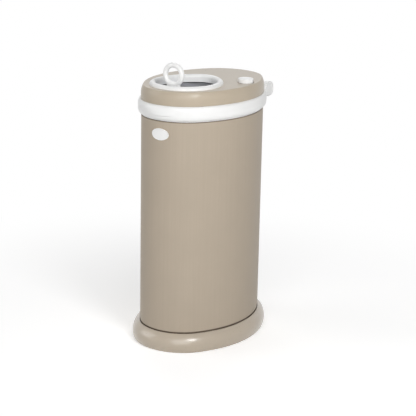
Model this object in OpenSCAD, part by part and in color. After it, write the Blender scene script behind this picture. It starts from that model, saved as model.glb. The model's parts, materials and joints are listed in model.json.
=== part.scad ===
// Oval nappy bin: a steel can on a moulded base, with a hinged lid, a sliding door and a child lock.
// Sizes are in millimetres. The plaque and the ring handle face -Y, the hinge is at +Y, and up is +Z.

/* [Body] */
// Width of the steel body, side to side
body_w = 187; // [183:1:191]
// Length of the steel body, front to back
body_l = 263; // [257:1:269]
// Height of the body's top edge above the floor
body_h = 403.2; // [380:0.1:425]
// Thickness of the body's sheet steel
sheet_t = 1; // [0.8:0.1:1.4]
// Radius of the rolled top edge of the body
hem_r = 2; // [1.8:0.1:2.4]
// Width of the oval plaque on the front
plaque_w = 33; // [28:1:38]
// Height of the oval plaque
plaque_h = 20; // [17:1:22]
// Distance from the body's top edge down to the middle of the plaque
plaque_drop = 23; // [18:1:40]

/* [Base] */
// How far the base stands out beyond the body
base_flare = 13; // [11:0.5:15]
// Height of the top of the base skirt
skirt_h = 32; // [29:1:34]
// Radius of the skirt's rounded outer face
skirt_r = 24; // [23:0.5:27]
// Height at which the skirt is widest
skirt_mid = 11.5; // [10:0.5:13]
// Wall thickness of the moulded base
base_wall = 2.5; // [2:0.1:3]
// Height of the underside of the base floor
floor_h = 9; // [8:0.5:10]
// Thickness of the base floor
floor_t = 3; // [2.5:0.5:4]
// Thickness of the ribs under the base
rib_t = 2; // [1.5:0.5:3]
// Height of the rim of the steel bottom pan
pan_rim = 9; // [6:1:12]
// Radius of a rubber foot
foot_r = 9; // [7:0.5:11]
// How far the feet lift the skirt off the ground
foot_gap = 1; // [0.5:0.1:2]
// Distance from the body's side to the middle of a foot
foot_inset = 36; // [32:1:42]

/* [Mouth] */
// Thickness of the collar's rim over the body's edge
collar_t = 1.3; // [1:0.1:2]
// Wall thickness of the collar and of the bag ring
collar_wall = 2; // [1.5:0.1:2.5]
// Depth of the collar inside the body
collar_depth = 20; // [14:1:26]
// Height of the collar's lip above its rim
collar_lip = 3.7; // [3:0.1:4.5]
// Width of the bag ring's flange
ring_flange = 9; // [7:0.5:11]
// Depth of the bag ring inside the collar
ring_depth = 20; // [14:1:26]

/* [Lid] */
// Height of the white band
band_h = 24.6; // [22:0.1:27]
// Radius of the band's outward bulge
band_r = 18.9; // [17:0.1:24]
// Wall thickness of the band and its floor
band_wall = 2.5; // [2:0.1:3]
// How far the band's top edge stands out beyond the body
band_head = 1.6; // [1:0.1:2.2]
// How far the band's bottom edge stands out beyond the body
band_foot = 0.8; // [0.4:0.1:1.4]
// Reach of the finger lip beyond the band
lip_reach = 2.6; // [1.5:0.1:3.5]
// Height of the lid cap above the band
cap_h = 23.6; // [21:0.1:28]
// Wall thickness of the lid cap
cap_t = 2.5; // [2:0.1:3]
// Radius of the lid cap's rounded shoulder
shoulder_r = 8; // [6:0.5:10]
// Distance from the lid's front edge and sides to the outside of the bezel
egg_margin = 13.5; // [12.5:0.5:15]
// How much smaller the radius of the opening's rear end is than that of its front end
egg_taper = 23.5; // [22:0.1:25]
// Width of the bezel
bezel_w = 11; // [9:0.5:12]
// Height of the bezel above the lid cap
bezel_h = 6.3; // [5:0.1:8]

/* [Door] */
// Depth of the door's top below the lid's top
door_drop = 7.5; // [7:0.1:8.5]
// Thickness of the door plate
door_t = 2; // [1.8:0.1:2.2]
// How far the door plate reaches under the bezel
door_lap = 7.5; // [7:0.1:8]
// Room between the open door and the rear end of the body
door_room = 25.25; // [25:0.25:30]
// How far the chute's bore lies inside the bezel's
chute_in = 5; // [4:0.5:7]
// Length of the chute below the lid's floor plate
chute_drop = 11; // [8:1:14]
// Outer radius of the ring handle
handle_r = 21.4; // [19:0.1:22]
// Width of the ring handle's bar
handle_bar = 8.6; // [7:0.1:9]
// Thickness of the ring handle, front to back
handle_t = 10; // [8:0.5:11]
// Height of the top of the ring handle above the lid
handle_top = 42.3; // [39:0.1:44]
// Distance of the ring handle behind the front of the bezel's bore
handle_in = 15; // [13:0.5:16]

/* [Child lock] */
// Radius of the lock button
button_r = 13.3; // [12:0.1:13.5]
// Height of the lock button above the lid
button_h = 7; // [6:0.1:8]
// Distance from the body's side to the middle of the lock button
button_in = 23.5; // [22.5:0.5:24]
// Place of the lock button along the lid
button_y = 24; // [22:0.5:28]
// How far the lock button goes down
lock_travel = 5; // [4.5:0.1:5]

/* [Hinge] */
// Distance of the hinge pin behind the body
hinge_back = 21.9; // [21:0.1:24]
// Height of the hinge pin above the lid's bottom edge
hinge_up = 14.3; // [13:0.1:16]
// Radius of the lid's hinge arms and their end caps
arm_r = 13.6; // [12:0.1:14]
// Radius of the hinge pin
pin_r = 3; // [2.5:0.1:3.5]
// How far the lid opens, in degrees
lid_open = 95; // [90:1:98]

/* [Fits] */
// Gap between the closed lid and the collar
lid_gap = 0.3; // [0.2:0.05:0.5]
// Gap round the sliding pieces
slide_gap = 0.3; // [0.2:0.05:0.4]
// Radial running clearance of the hinge and of the button's stem
run_gap = 0.05; // [0.02:0.01:0.1]

/* [Hidden] */
$fn = 96;

taupe = "#b6aa9a";
white = "#f4f4f4";
steel = "#b9bcc0";
soft_grey = "#8c8f92";
rubber = "#3c3d40";

// a cut runs this far past the face it opens
past = 1;

// heights, from the ground up
seat_z = floor_h + floor_t;
collar_z = body_h + collar_t;
lip_z = collar_z + collar_lip;
ring_top = lip_z + collar_wall;
lid_z = collar_z + lid_gap;
band_top = lid_z + band_h;
plate_z = band_top - band_wall;
lid_top = band_top + cap_h;
cap_under = lid_top - cap_t;
door_top = lid_top - door_drop;
door_z = door_top - door_t;
handle_z = lid_top + handle_top - handle_r;

// An outline is four tangent arcs, each [centre, radius, start of the half turn that holds it, wedge that
// cuts it out]. Neighbouring arcs meet on whole-number directions, so that their cut faces match exactly.

// the side arcs are set off by this much, so that they overlap their neighbours by a hair and join them
hair = 0.00001;

// the body's outline, whose arcs meet on the directions 4 : 3; the side arcs' centres are on a quarter grid
side_c = round(4 * (body_l - body_w)) / 4;
side_r = body_w / 2 + side_c;
end_c = 0.75 * side_c;
end_r = side_r - 1.25 * side_c;
half_l = end_c + end_r;
OVAL = [[[-side_c - hair, 0], side_r, -90, [[4, -3], [6, 0], [4, 3]]],
        [[0, end_c], end_r, 0, [[4, 3], [0, 8], [-4, 3]]],
        [[side_c + hair, 0], side_r, 90, [[-4, 3], [-6, 0], [-4, -3]]],
        [[0, -end_c], end_r, 180, [[-4, -3], [0, -8], [4, -3]]]];

// the opening's outline, an egg with its wide end at the front, whose arcs meet on 1 : 0 and 28 : 45
egg_unit = round(16 * egg_taper / 25) / 16;
egg_front_r = min(end_r, 0.4 * body_w) - egg_margin;
egg_front_y = -end_c - 1;
egg_x = 28 * egg_unit;
egg_side_r = egg_front_r + egg_x;
egg_rear_y = egg_front_y + 45 * egg_unit;
egg_rear_r = egg_front_r - 25 * egg_unit;
EGG = [[[-egg_x - hair, egg_front_y - hair], egg_side_r, -45, [[5, 0], [5, 4.5], [2.8, 4.5]]],
       [[0, egg_rear_y], egg_rear_r, 0, [[2.8, 4.5], [-2.8, 4.5]]],
       [[egg_x + hair, egg_front_y - hair], egg_side_r, 45, [[-2.8, 4.5], [-5, 4.5], [-5, 0]]],
       [[0, egg_front_y], egg_front_r, 180, [[-5, 0], [-5, -5], [5, -5], [5, 0]]]];

// the sliding door, the chute under it and the lock beside it
bore_r = egg_front_r - bezel_w;
door_half = bore_r + door_lap;
door_rear_r = door_half + 12.5;
door_rear_y = egg_rear_y + egg_rear_r - bezel_w + door_lap;
door_rear_c = door_rear_y - door_rear_r;
door_travel = half_l - door_room - door_rear_y;
chute_r = bore_r - chute_in;
mouth_y = egg_front_y - 3;
handle_y = egg_front_y - bore_r + handle_in;
button_x = body_w / 2 - button_in;

// hinge pin's place, and the shift that brings the middle of the whole bin over the origin
axis_y = half_l + hinge_back;
axis_z = lid_z + hinge_up;
stop_reach = 18;
mid_y = (axis_y + stop_reach - half_l - base_flare) / 2;

// points of an arc about a centre
function arc(c, r, a0, a1, n = 8) = [for (i = [0:n]) c + r * [cos(a0 + (a1 - a0) * i / n), sin(a0 + (a1 - a0) * i / n)]];
// centre of the circle of radius r through p and q, on the left of the way from p to q
function through(p, q, r) = let (m = (p + q) / 2, h = norm(q - p) / 2, n = [p[1] - q[1], q[0] - p[0]] / (2 * h))
    m + n * sqrt(r * r - h * h);
// the body's outline grown by d: its y at x on the ends, and its x at y on the sides
function end_y(x, d) = end_c + sqrt(pow(end_r + d, 2) - x * x);
function side_x(y, d) = sqrt(pow(side_r + d, 2) - y * y) - side_c;

module centred() translate([0, -mid_y, 0]) children();

// the wedge of one arc, long enough for any radius here
module wedge(q) polygon(concat([[0, 0]], 100 * q[3]));

// carries a profile round an outline; the profile's x is the distance outside it, its y is the height
module sweep(outline) {
    for (q = outline)
        translate(q[0]) intersection() {
            rotate([0, 0, q[2]]) rotate_extrude(angle = 180) translate([q[1], 0]) children();
            translate([0, 0, -past]) linear_extrude(2 * body_h) wedge(q);
        }
}

// the flat shape of an outline grown by d
module flat(outline, d) {
    for (q = outline)
        translate(q[0]) intersection() {
            circle(q[1] + d);
            wedge(q);
        }
}

// plates are swept this far in from the outline, and their middle is a straight-sided block
sweep_in = 44;
block_in = 20;
module middle(z0, z1) {
    r = end_r - block_in;
    translate([0, 0, z0]) linear_extrude(z1 - z0) {
        translate([0, end_c]) circle(r);
        translate([0, -end_c]) circle(r);
        square([body_w - 2 * sweep_in + 4, 2 * end_c], center = true);
    }
}

module tube(r_out, r_in, h) {
    difference() {
        cylinder(r = r_out, h = h);
        translate([0, 0, -past]) cylinder(r = r_in, h = h + 2 * past);
    }
}

// Base

foot_y = half_l - 1.3 * foot_inset;
foot_x = body_w / 2 - foot_inset;
foot_room = 0.2;
boss_wall = 2.5;
skirt_c = [base_flare - skirt_r, skirt_mid];
skirt_lip_gap = 0.3;
screw_r = 2;
base_screw_x = foot_x - 22;

function skirt_at(z, inset) = skirt_c[0] + sqrt(pow(skirt_r - inset, 2) - pow(z - skirt_mid, 2));

module at_feet() for (sx = [-1, 1], sy = [-1, 1]) translate([sx * foot_x, sy * foot_y, 0]) children();
module at_base_screws() for (sx = [-1, 1], sy = [-1, 1])
    translate([sx * base_screw_x, sy * foot_y, 0]) children();

module base_skirt() {
    inner_r = skirt_r - base_wall;
    lip_out = skirt_lip_gap + base_wall - 0.5;
    hollow_top = skirt_mid + sqrt(pow(inner_r, 2) - pow(lip_out - skirt_c[0], 2));
    a_low = asin((foot_gap - skirt_mid) / skirt_r);
    a_top = asin((skirt_h - skirt_mid) / skirt_r);
    b_low = asin((foot_gap - skirt_mid) / inner_r);
    b_top = asin((hollow_top - skirt_mid) / inner_r);
    rib_reach = skirt_at(floor_h, base_wall) + 0.4;
    rib_h = floor_h - 2 * foot_gap;
    color(taupe) centred() {
        difference() {
            union() {
                sweep(OVAL) polygon(concat(
                    arc(skirt_c, skirt_r, a_low, a_top, 14),
                    [[skirt_lip_gap, skirt_h], [skirt_lip_gap, seat_z], [-sweep_in, seat_z], [-sweep_in, floor_h],
                     [lip_out, floor_h]],
                    arc(skirt_c, inner_r, b_top, b_low, 10)));
                middle(floor_h, seat_z);
                at_feet() translate([0, 0, rib_t]) cylinder(r = foot_r + foot_room + boss_wall, h = floor_h);
                at_base_screws() translate([0, 0, floor_h / 2]) cylinder(r = screw_r + 2 * boss_wall, h = floor_h / 2 + 1);
                for (s = [-1, 1]) {
                    x = s * base_screw_x;
                    l = end_y(x, rib_reach);
                    translate([x - rib_t / 2, -l, 2 * foot_gap]) cube([rib_t, 2 * l, rib_h]);
                }
                for (y = [-foot_y, 0, foot_y]) {
                    l = side_x(y, rib_reach);
                    translate([-l, y - rib_t / 2, 2 * foot_gap]) cube([2 * l, rib_t, rib_h]);
                }
            }
            at_feet() translate([0, 0, -past]) cylinder(r = foot_r + foot_room, h = floor_h + past);
            at_base_screws() {
                cylinder(r = screw_r + foot_room, h = seat_z + past);
                translate([0, 0, -past]) cylinder(r = 2 * screw_r + foot_room, h = floor_h - rib_t + past);
            }
        }
    }
}

module base_feet() {
    bevel = 1.5;
    color(rubber) centred() at_feet() rotate_extrude()
        polygon([[0, 0], [foot_r - bevel, 0], [foot_r, bevel], [foot_r, floor_h], [0, floor_h]]);
}

module base_screws() {
    head_h = 2;
    head_z = floor_h - rib_t;
    color(steel) centred() at_base_screws() rotate_extrude()
        polygon([[0, head_z - head_h], [2 * screw_r - 0.6, head_z - head_h], [2 * screw_r, head_z - head_h + 0.6],
                 [2 * screw_r, head_z], [screw_r, head_z], [screw_r, seat_z + 2], [screw_r - 1, seat_z + 3],
                 [0, seat_z + 3]]);
}

module bottom_pan() {
    pan_d = -sheet_t;
    color(steel) centred() difference() {
        union() {
            sweep(OVAL) polygon([[pan_d, seat_z], [pan_d, seat_z + pan_rim], [pan_d - sheet_t, seat_z + pan_rim],
                                 [pan_d - sheet_t, seat_z + sheet_t], [-sweep_in, seat_z + sheet_t],
                                 [-sweep_in, seat_z]]);
            middle(seat_z, seat_z + sheet_t);
        }
        at_base_screws() cylinder(r = screw_r, h = seat_z + pan_rim);
    }
}

// Body

rivet_r = 2;
rivet_in = 10.5;
bracket_low = body_h - 31;
bracket_high = body_h - 1.2;
bracket_half = 33.5;
rivet_turn = asin((bracket_half - rivet_in) / end_r);
pad_t = 3;
RIVET_Z = [bracket_low + 6, bracket_low + 15];

// the four rivets, each with its local x pointing out of the body
module at_rivets() for (z = RIVET_Z, s = [-1, 1])
    translate([0, end_c, z]) rotate([0, 0, 90 + s * rivet_turn]) translate([end_r, 0, 0]) rotate([0, 90, 0]) children();

module rivet_holes() at_rivets() translate([0, 0, -15]) cylinder(r = rivet_r, h = 30);

module shell() {
    c = [-hem_r, body_h - hem_r];
    color(taupe) centred() difference() {
        sweep(OVAL) polygon(concat(
            [[-sheet_t, seat_z], [0, seat_z]],
            arc(c, hem_r, 0, 180, 10),
            arc(c, hem_r - sheet_t, 180, 0, 8)));
        rivet_holes();
    }
}

plaque_t = 1.2;
plaque_rim = 1.4;
// a prism of the plaque's ellipse, grown by d, from the middle of the front end forwards
module plaque_prism(d) {
    translate([0, -end_c, body_h - plaque_drop]) rotate([90, 0, 0]) linear_extrude(2 * end_r)
        polygon([for (t = [0:7.5:359]) [(plaque_w / 2 + d) * cos(t), (plaque_h / 2 + d) * sin(t)]]);
}

// a curved slab that lies on the body's front, between two distances from the body
module on_front(d0, d1) {
    translate([0, -end_c, body_h - plaque_drop - plaque_h]) rotate([0, 0, 250]) rotate_extrude(angle = 40)
        translate([end_r + d0, 0]) square([d1 - d0, 2 * plaque_h]);
}

module badge_plate() {
    color(white) centred() difference() {
        intersection() {
            on_front(0, plaque_t + 0.4);
            plaque_prism(0);
        }
        intersection() {
            on_front(plaque_t, 2 * plaque_t);
            plaque_prism(-plaque_rim);
        }
    }
}

// Mouth

collar_d = -2 * hem_r - collar_wall - 0.5;
ring_gap = 0.5;
ring_d = collar_d - collar_wall - ring_gap;

module mouth_collar() {
    low = body_h - collar_depth;
    bead_z = body_h - hem_r - slide_gap;
    bead_d = -2 * hem_r + 0.8;
    color(white) centred() sweep(OVAL) polygon([
        [-0.2, body_h], [-0.2, collar_z], [collar_d, collar_z], [collar_d, lip_z], [collar_d - collar_wall, lip_z],
        [collar_d - collar_wall, low], [collar_d, low], [collar_d, bead_z - 5], [bead_d, bead_z - 1.5],
        [bead_d, bead_z], [collar_d, bead_z], [collar_d, body_h]]);
}

module bag_ring() {
    out = collar_d - 0.5;
    low = lip_z - ring_depth;
    tab_r = 11;
    color(soft_grey) centred() {
        sweep(OVAL) polygon([
            [out, lip_z], [out, ring_top - 0.6], [out - 0.6, ring_top], [out - ring_flange, ring_top],
            [out - ring_flange, lip_z], [ring_d - collar_wall, lip_z], [ring_d - collar_wall, low], [ring_d, low],
            [ring_d, lip_z]]);
        intersection() {
            translate([0, -end_c - end_r - out + ring_flange, lip_z]) tube(tab_r, tab_r / 2, collar_wall);
            translate([0, -end_c, 0]) cylinder(r = end_r + out - 1, h = 2 * body_h);
        }
    }
}

// Hinge

knuckle_r = 9;
arm_x = bracket_half + 0.5;
arm_t = 8;
cap_disc_t = 2;
spigot_r = 6;
pin_end = arm_x + arm_t / 2 - slide_gap;

module at_axis() translate([0, axis_y, axis_z]) children();
module along_x(half) translate([-half, 0, 0]) rotate([0, 90, 0]) children();

// flat shapes drawn as [y, z] and carried across the bin
module across(x0, x1) translate([x0, 0, 0]) rotate([90, 0, 90]) linear_extrude(x1 - x0) children();

// height above the pin of the open lid's rear face, y behind the pin
function stop_z(y) = (hinge_back - cap_out + y * cos(lid_open)) / sin(lid_open) - slide_gap;

module hinge_bracket() {
    web_low = bracket_high - 11;
    root_y = end_y(bracket_half, 0) - 2;
    stop_half = 9;
    color(white) centred() difference() {
        union() {
            intersection() {
                translate([0, end_c, bracket_low]) cylinder(r = end_r + pad_t, h = bracket_high - bracket_low);
                translate([-bracket_half, end_c, 0]) cube([2 * bracket_half, 2 * end_r, body_h]);
            }
            across(-bracket_half, bracket_half) polygon([
                [root_y, web_low], [half_l + pad_t, web_low], [axis_y + knuckle_r * 0.4, axis_z - knuckle_r * 0.9],
                [axis_y, axis_z], [axis_y - knuckle_r * 0.9, axis_z - knuckle_r * 0.4],
                [half_l + pad_t, bracket_high], [root_y, bracket_high]]);
            at_axis() along_x(bracket_half) cylinder(r = knuckle_r, h = 2 * bracket_half);
            at_axis() across(-stop_half, stop_half) polygon([
                [0, 4], [stop_reach - 4, stop_z(stop_reach - 4)], [stop_reach, stop_z(stop_reach)],
                [stop_reach, stop_z(stop_reach) - 6], [knuckle_r * 0.9, 0]]);
        }
        translate([0, end_c, 0]) cylinder(r = end_r, h = 2 * body_h);
        at_axis() along_x(bracket_half + past) cylinder(r = pin_r, h = 2 * (bracket_half + past));
        rivet_holes();
    }
}

module hinge_backplate() {
    color(steel) centred() difference() {
        intersection() {
            translate([0, end_c, bracket_low]) tube(end_r - sheet_t, end_r - 2.5 * sheet_t, RIVET_Z[1] - RIVET_Z[0] + 12);
            translate([-bracket_half + 3, end_c, 0]) cube([2 * bracket_half - 6, 2 * end_r, body_h]);
        }
        rivet_holes();
    }
}

module hinge_rivets() {
    head_r = 3.6;
    inside = -2.5 * sheet_t;
    color(steel) centred() at_rivets() rotate_extrude() polygon(concat(
        [[0, inside - 1.6], [head_r - 0.8, inside - 1.6], [head_r - 0.2, inside - 0.4], [head_r - 0.2, inside - 0.12],
         [rivet_r, inside - 0.12], [rivet_r, pad_t + 0.3], [head_r, pad_t + 0.3], [head_r, pad_t + 0.9],
         [head_r - 0.9, pad_t + 1.9], [head_r - 2.2, pad_t + 2.3], [0, pad_t + 2.3]]));
}

module hinge_pin() {
    color(steel) centred() at_axis() along_x(pin_end) rotate_extrude()
        polygon([[0, 0], [pin_r - 0.4, 0], [pin_r, 0.4], [pin_r, 2 * pin_end - 0.4], [pin_r - 0.4, 2 * pin_end],
                 [0, 2 * pin_end]]);
}

module hinge_caps() {
    color(white) centred() at_axis() for (s = [0, 1]) mirror([s, 0, 0]) translate([arm_x + arm_t, 0, 0])
        rotate([0, 90, 0]) rotate_extrude() polygon([
            [0, slide_gap - arm_t / 2], [spigot_r, slide_gap - arm_t / 2], [spigot_r, 0], [arm_r, 0],
            [arm_r, cap_disc_t - 1], [arm_r - 0.3, cap_disc_t - 0.3], [arm_r - 1, cap_disc_t],
            [arm_r - 3.5, cap_disc_t], [arm_r - 4, cap_disc_t - 0.5], [0, cap_disc_t - 0.5]]);
}

// Lid

cap_out = 0.8;
band_c = through([band_foot, lid_z], [band_head, band_top], band_r);
skirt_d = ring_d + 0.5;
seal_z = ring_top + slide_gap;
chute_t = 2.5;
boss_r = 4;
lid_screw_r = 1.5;
boss_in = 14.5;
boss_behind = 18;
boss_from_rear = 69.5;
BOSSES = [for (y = [egg_front_y + boss_behind, half_l - boss_from_rear]) [side_x(y, -boss_in), y]];
rail_in = door_half - 7.5;
rail_out = door_half + 3;
rail_foot_t = 2.6;
runner_front = egg_front_y + 2;
runner_long = door_rear_c + sqrt(pow(door_rear_r, 2) - pow(door_half, 2)) - runner_front - 1.2;
rail_front = runner_front - 4;
rail_back = runner_front + runner_long + door_travel + 3;
RAIL_SCREW_Y = [rail_front + 12, rail_back - 12];
rail_screw_x = rail_in + 3.6;

module at_bosses() for (s = [-1, 1], p = BOSSES) translate([s * p[0], p[1], 0]) children();
module at_rail_screws() for (s = [-1, 1], y = RAIL_SCREW_Y) translate([s * rail_screw_x, y, 0]) children();

module hinge_arm() {
    root_d = band_head - 0.1;
    difference() {
        union() {
            at_axis() translate([arm_x, 0, 0]) rotate([0, 90, 0]) cylinder(r = arm_r, h = arm_t);
            across(arm_x, arm_x + arm_t) polygon([
                [end_y(arm_x, 0) - 16, lid_z + 5], [axis_y - 0.3 * arm_r, axis_z - 0.95 * arm_r], [axis_y, axis_z],
                [axis_y - 0.3 * arm_r, axis_z + 0.95 * arm_r], [end_y(arm_x, 0) - 16, band_top - 1.2]]);
        }
        translate([0, end_c, 0]) cylinder(r = end_r + root_d, h = 2 * body_h);
        at_axis() translate([arm_x - past, 0, 0]) rotate([0, 90, 0]) cylinder(r = pin_r + run_gap, h = arm_t + 2 * past);
        at_axis() translate([arm_x + arm_t / 2, 0, 0]) rotate([0, 90, 0]) cylinder(r = spigot_r, h = arm_t);
    }
}

// crescent that the fingers lift, a tighter curve than the band's so that it runs out at both sides
module finger_lip() {
    r = 46;
    top = band_c[1] + 6;
    low = band_c[1] - 5.6;
    reach = band_c[0] + band_r + lip_reach;
    translate([0, r - half_l - reach, 0]) rotate([0, 0, 225]) rotate_extrude(angle = 90) polygon([
        [r - 4.2, low - 0.6], [r - 1, low - 0.2], [r - 0.2, low + 0.2], [r, low + 1], [r - 0.2, low + 2.2],
        [r - 3, top], [r - 4.2, top]]);
}

module lid_frame() {
    in_r = band_r - band_wall;
    a_low = atan2(lid_z - band_c[1], band_foot - band_c[0]);
    a_top = atan2(band_top - band_c[1], band_head - band_c[0]);
    b_low = asin((lid_z - band_c[1]) / in_r);
    b_top = asin((plate_z - band_c[1]) / in_r);
    rib_low = seal_z + 1;
    color(white) centred() {
        difference() {
            union() {
                sweep(OVAL) polygon(concat(
                    arc(band_c, band_r, a_low, a_top, 14),
                    [[-sweep_in, band_top], [-sweep_in, plate_z], [skirt_d - collar_wall, plate_z],
                     [skirt_d - collar_wall, rib_low], [skirt_d, rib_low], [skirt_d, plate_z]],
                    arc(band_c, in_r, b_top, b_low, 12)));
                middle(plate_z, band_top);
                finger_lip();
            }
            translate([0, mouth_y, 0]) cylinder(r = chute_r + chute_t + 0.2, h = 2 * body_h);
            at_bosses() cylinder(r = lid_screw_r + 0.2, h = 2 * body_h);
            at_rail_screws() cylinder(r = lid_screw_r + 0.2, h = 2 * body_h);
        }
        hinge_arm();
        mirror([1, 0, 0]) hinge_arm();
    }
}

module lid_cap() {
    c = [cap_out - shoulder_r, lid_top - shoulder_r];
    color(taupe) centred() {
        difference() {
            union() {
                sweep(OVAL) polygon(concat(
                    [[cap_out - cap_t, band_top], [cap_out, band_top]],
                    arc(c, shoulder_r, 0, 90),
                    [[-sweep_in, lid_top], [-sweep_in, cap_under]],
                    arc(c, shoulder_r - cap_t, 90, 0)));
                middle(cap_under, lid_top);
            }
            translate([0, 0, cap_under - past]) linear_extrude(cap_t + 2 * past) flat(EGG, -3);
            translate([button_x, button_y, cap_under - shoulder_r]) cylinder(r = button_r + 0.5, h = 2 * shoulder_r);
        }
        at_bosses() translate([0, 0, band_top]) difference() {
            cylinder(r = boss_r, h = cap_under - band_top + cap_t / 2);
            translate([0, 0, -past]) cylinder(r = lid_screw_r, h = 13);
        }
    }
}

module lid_screw(z, l) {
    head_r = 2 * lid_screw_r;
    head_h = 2;
    rotate_extrude() polygon([
        [0, z - head_h], [head_r - 0.6, z - head_h], [head_r, z - head_h + 0.6], [head_r, z], [lid_screw_r, z],
        [lid_screw_r, z + l - 1], [lid_screw_r - 0.7, z + l], [0, z + l]]);
}

module lid_screws() {
    color(steel) centred() {
        at_bosses() lid_screw(plate_z, band_wall + 11);
        at_rail_screws() lid_screw(plate_z, band_wall + rail_foot_t - 0.4);
    }
}

module opening_bezel() {
    crest = bezel_w / 2 + 0.5;
    low = door_top + 0.5;
    r_in = bezel_w - crest;
    z = lid_top + bezel_h;
    rim = 3.3;
    color(white) centred() sweep(EGG) polygon(concat(
        [[0, lid_top]],
        arc([-crest, z - crest], crest, 0, 90, 10),
        arc([-crest, z - r_in], r_in, 90, 180, 8),
        [[-bezel_w, low], [-bezel_w + 2, low], [-bezel_w + 2, lid_top], [-rim - 2, lid_top], [-rim - 2, cap_under - 1],
         [-rim, cap_under - 1], [-rim, lid_top]]));
}

module mouth_chute() {
    out = chute_r + chute_t;
    top = door_z - slide_gap - door_seal_t;
    low = plate_z - chute_drop;
    color(white) centred() translate([0, mouth_y, 0]) rotate_extrude() polygon([
        [chute_r, low + 0.8], [chute_r + 0.8, low], [out, low], [out, band_top], [out + 2, band_top],
        [out + 2, band_top + 2], [out, band_top + 2], [out, top], [chute_r, top]]);
}

door_seal_t = 2.4;
module door_seal() {
    color(rubber) centred() translate([0, mouth_y, door_z - slide_gap - door_seal_t])
        tube(chute_r + chute_t, chute_r, door_seal_t);
}

module lid_seal() {
    side = 1;
    top = seal_z + 4;
    in = skirt_d - collar_wall;
    color(rubber) centred() sweep(OVAL) polygon([
        [in - side, seal_z], [skirt_d + side, seal_z], [skirt_d + side, top], [skirt_d, top], [skirt_d, seal_z + 1],
        [in, seal_z + 1], [in, top], [in - side, top]]);
}

// Sliding door

runner_h = 3.5;
runner_low = door_z - runner_h;
runner_out = door_half + 0.2;
runner_in = door_half - 6;
wall_in = runner_out + slide_gap;
peg_r = 1.2;
PEG_Y = [for (i = [0:2]) runner_front + 7 + i * (runner_long - 14) / 2];

// place of the bolt's tongue, just behind the closed door's rear corner
tongue_in = door_half - 5.5;
tongue_y = door_rear_c + sqrt(door_rear_r * door_rear_r - tongue_in * tongue_in) + 1;
tongue_w = 5;
bolt_t = 2;
bolt_z = door_top + 0.5;

module rail(notch) {
    shelf = runner_low - slide_gap;
    lip_low = door_top + slide_gap;
    lip_top = lip_low + 1.5;
    difference() {
        translate([0, rail_back, 0]) rotate([90, 0, 0]) linear_extrude(rail_back - rail_front) polygon([
            [rail_in, band_top], [rail_out + 0.2, band_top], [rail_out + 0.2, lip_top], [wall_in - 4, lip_top],
            [wall_in - 4, lip_low], [wall_in, lip_low], [wall_in, shelf], [rail_in + 1, shelf],
            [rail_in + 1, shelf - 2], [wall_in, shelf - 2], [wall_in, band_top + rail_foot_t],
            [rail_in, band_top + rail_foot_t]]);
        for (y = RAIL_SCREW_Y) translate([rail_screw_x, y, band_top - past]) cylinder(r = lid_screw_r, h = rail_foot_t + 2 * past);
        if (notch) translate([rail_in, tongue_y - 2.5, bolt_z - lock_travel - 0.6]) cube([rail_out, tongue_w + 5, cap_h]);
    }
    for (y = [rail_front, rail_back - 2])
        translate([rail_in + 1, y, shelf - 1]) cube([wall_in - rail_in, 2, runner_h - slide_gap + 1]);
}

module rail_right() color(white) centred() rail(true);
module rail_left() color(white) centred() mirror([1, 0, 0]) rail(false);

module runner() {
    translate([runner_in, runner_front, runner_low]) cube([runner_out - runner_in, runner_long, runner_h]);
    for (y = PEG_Y) translate([door_half - 3, y, runner_low]) cylinder(r = peg_r, h = runner_h + door_t);
}

module runner_right() color(soft_grey) centred() runner();
module runner_left() color(soft_grey) centred() mirror([1, 0, 0]) runner();

handle_screw_x = 7;
handle_screw_r = 1.5;
countersink_r = 2.8;

module handle_screw(top) {
    rotate_extrude() polygon([
        [0, door_z], [countersink_r, door_z], [handle_screw_r, door_z + countersink_r - handle_screw_r],
        [handle_screw_r, top], [0, top]]);
}

module door_plate() {
    color(steel) centred() difference() {
        translate([0, 0, door_z]) linear_extrude(door_t) intersection() {
            union() {
                translate([0, egg_front_y + 2]) circle(door_half);
                translate([-door_half, egg_front_y + 2]) square([2 * door_half, door_rear_r + 10]);
            }
            translate([0, door_rear_c]) circle(door_rear_r);
        }
        for (s = [-1, 1]) {
            translate([s * handle_screw_x, handle_y, 0]) handle_screw(lid_top);
            for (y = PEG_Y) translate([s * (door_half - 3), y, runner_low]) cylinder(r = peg_r, h = cap_h);
        }
    }
}

module handle_screws() {
    color(steel) centred() for (s = [-1, 1]) translate([s * handle_screw_x, handle_y, 0]) handle_screw(door_top + 6);
}

module ring_handle() {
    r_in = handle_r - handle_bar;
    round_r = 3.2;
    half = handle_t / 2;
    foot_half = 12;
    foot_h = 3;
    color(white) centred() translate([0, handle_y, 0]) difference() {
        union() {
            translate([0, 0, handle_z]) rotate([90, 0, 0]) rotate_extrude() polygon(concat(
                arc([handle_r - round_r, half - round_r], round_r, 0, 90, 5),
                arc([r_in + round_r, half - round_r], round_r, 90, 180, 5),
                arc([r_in + round_r, round_r - half], round_r, 180, 270, 5),
                arc([handle_r - round_r, round_r - half], round_r, 270, 360, 5)));
            difference() {
                translate([-10, 1 - half, door_top]) cube([20, handle_t - 2, handle_z - door_top - r_in]);
                translate([0, past, handle_z]) rotate([90, 0, 0]) cylinder(r = r_in + 1, h = 2 * handle_t, center = true);
            }
            translate([0, 0, door_top]) linear_extrude(foot_h) {
                for (s = [-1, 1]) translate([s * (foot_half - 6), 0]) circle(6);
                square([2 * foot_half - 12, 12], center = true);
            }
        }
        for (s = [-1, 1]) translate([s * handle_screw_x, 0, 0]) handle_screw(door_top + 6);
    }
}

// Child lock

stem_r = 3.5;
neck_r = 4.5;
stem_low = band_top + lock_travel + 0.4;
bolt_top = bolt_z + bolt_t;

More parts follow.
